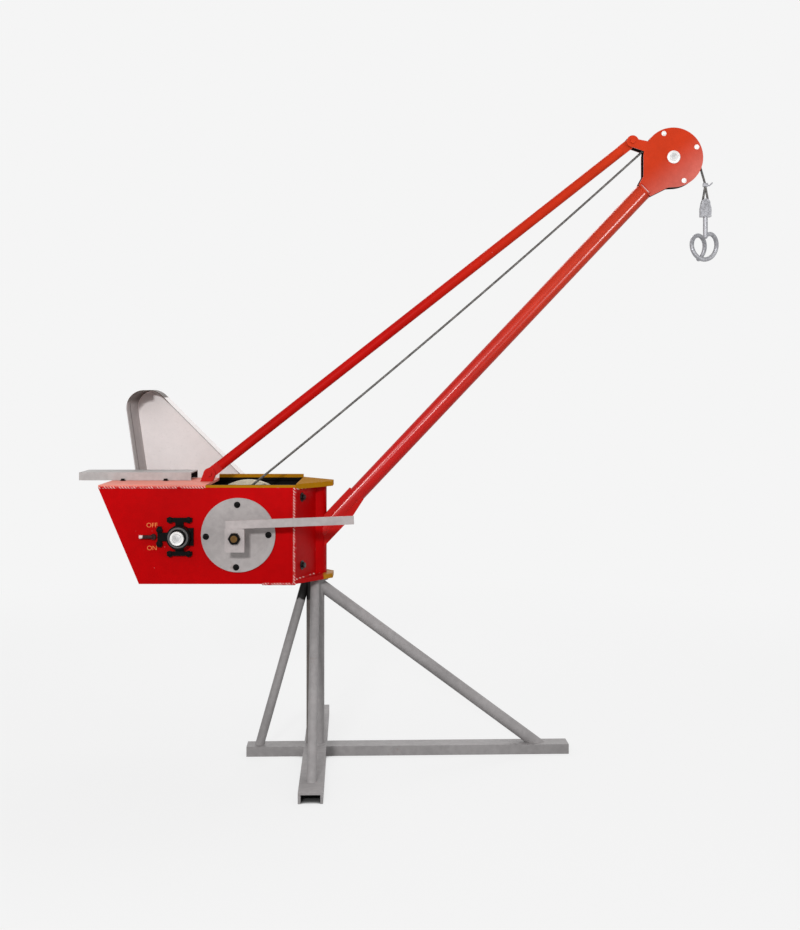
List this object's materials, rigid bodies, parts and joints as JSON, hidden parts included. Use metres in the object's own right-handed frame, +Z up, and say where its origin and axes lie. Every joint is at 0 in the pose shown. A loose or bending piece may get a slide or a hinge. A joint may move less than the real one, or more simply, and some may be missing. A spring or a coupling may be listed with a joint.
{
  "type": "jib crane",
  "caption": "Portable slewing jib crane on a cross base, with a raking boom and tie, belt-driven friction winch, head sheave, hoist rope and pigtail hook.",
  "frame": {"origin": "on the mast axis at ground level, under the crossing of the base channels", "axes": "+Z up, +X towards the boom head, -Y towards the side with the control lever"},
  "size_m": [2.1766, 1.134, 2.103],
  "materials": {
    "grey_paint": "worn satin grey paint",
    "pale_grey_paint": "satin pale grey paint",
    "red_paint": "glossy red enamel, chipped at the welds",
    "ochre_paint": "satin ochre paint",
    "black_iron": "black paint on rough casting",
    "cast_iron": "cream paint on casting, worn",
    "bright_steel": "turned steel",
    "wire_rope": "dark greased wire rope",
    "galvanised_steel": "dull galvanised steel"
  },
  "bodies": {
    "base": {"long_leg": "grey_paint", "side_legs": "grey_paint", "mast_post": "grey_paint", "mast_flange": "grey_paint", "front_strut": "grey_paint", "rear_strut": "grey_paint", "side_struts": "grey_paint"},
    "jib": {"side_plate_near": "red_paint", "side_plate_far": "red_paint", "rear_plate": "red_paint", "deck_plate": "red_paint", "opening_rims": "ochre_paint", "bow_plates": "red_paint", "bow_top_plate": "ochre_paint", "bow_bottom_plate": "ochre_paint", "slewing_sleeve": "red_paint", "motor_platform": "grey_paint", "drum_covers": "grey_paint", "shaft_bearings": "black_iron", "selector_stub": "bright_steel", "boom_foot_cheeks": "red_paint", "boom_tube": "red_paint", "boom_end_cap": "red_paint", "head_cheeks": "red_paint", "head_axle": "bright_steel", "tie_tube": "red_paint", "tie_eyes": "red_paint", "tie_foot_lugs": "red_paint", "tie_pins": "bright_steel", "hoist_rope": "wire_rope", "rope_clip": "bright_steel", "belt_guard_pan": "pale_grey_paint", "belt_guard_lip": "pale_grey_paint", "guard_rods": "pale_grey_paint"},
    "lever": {"control_lever": "grey_paint", "drum_axle": "bright_steel", "axle_nut": "black_iron"},
    "drum": {"drum_barrel": "cast_iron", "drum_flange": "cast_iron", "friction_rim": "cast_iron", "wound_rope": "wire_rope"},
    "countershaft": {"countershaft": "bright_steel", "shaft_collar": "bright_steel", "friction_roller": "cast_iron", "belt_pulley": "cast_iron"},
    "sheave": {"head_sheave": "cast_iron"},
    "hook": {"hook_fork": "galvanised_steel", "hook_pin": "bright_steel", "pigtail_hook": "galvanised_steel"}
  },
  "joints": [
    {"name": "slewing", "type": "hinge", "parent": "base", "child": "jib", "pos_m": [0, 0, 0.596], "axis": [0, 0, 1], "continuous": true},
    {"name": "lever_swing", "type": "hinge", "parent": "jib", "child": "lever", "pos_m": [-0.238, 0, 0.755], "axis": [0, -1, 0], "range_deg": [-30, 30]},
    {"name": "drum_spin", "type": "hinge", "parent": "lever", "child": "drum", "pos_m": [-0.238, 0, 0.755], "axis": [0, 1, 0], "continuous": true},
    {"name": "countershaft_spin", "type": "hinge", "parent": "jib", "child": "countershaft", "pos_m": [-0.427, 0, 0.75], "axis": [0, 1, 0], "continuous": true},
    {"name": "sheave_spin", "type": "hinge", "parent": "jib", "child": "sheave", "pos_m": [1.201, 0, 2.003], "axis": [0, 1, 0], "continuous": true},
    {"name": "hook_swing", "type": "hinge", "parent": "jib", "child": "hook", "pos_m": [1.3139, 0, 1.853], "axis": [0, 1, 0], "range_deg": [-30, 30]}
  ],
  "couplings": [
    {"joint": "sheave_spin", "follows": "drum_spin", "ratio": 1.1821}
  ]
}
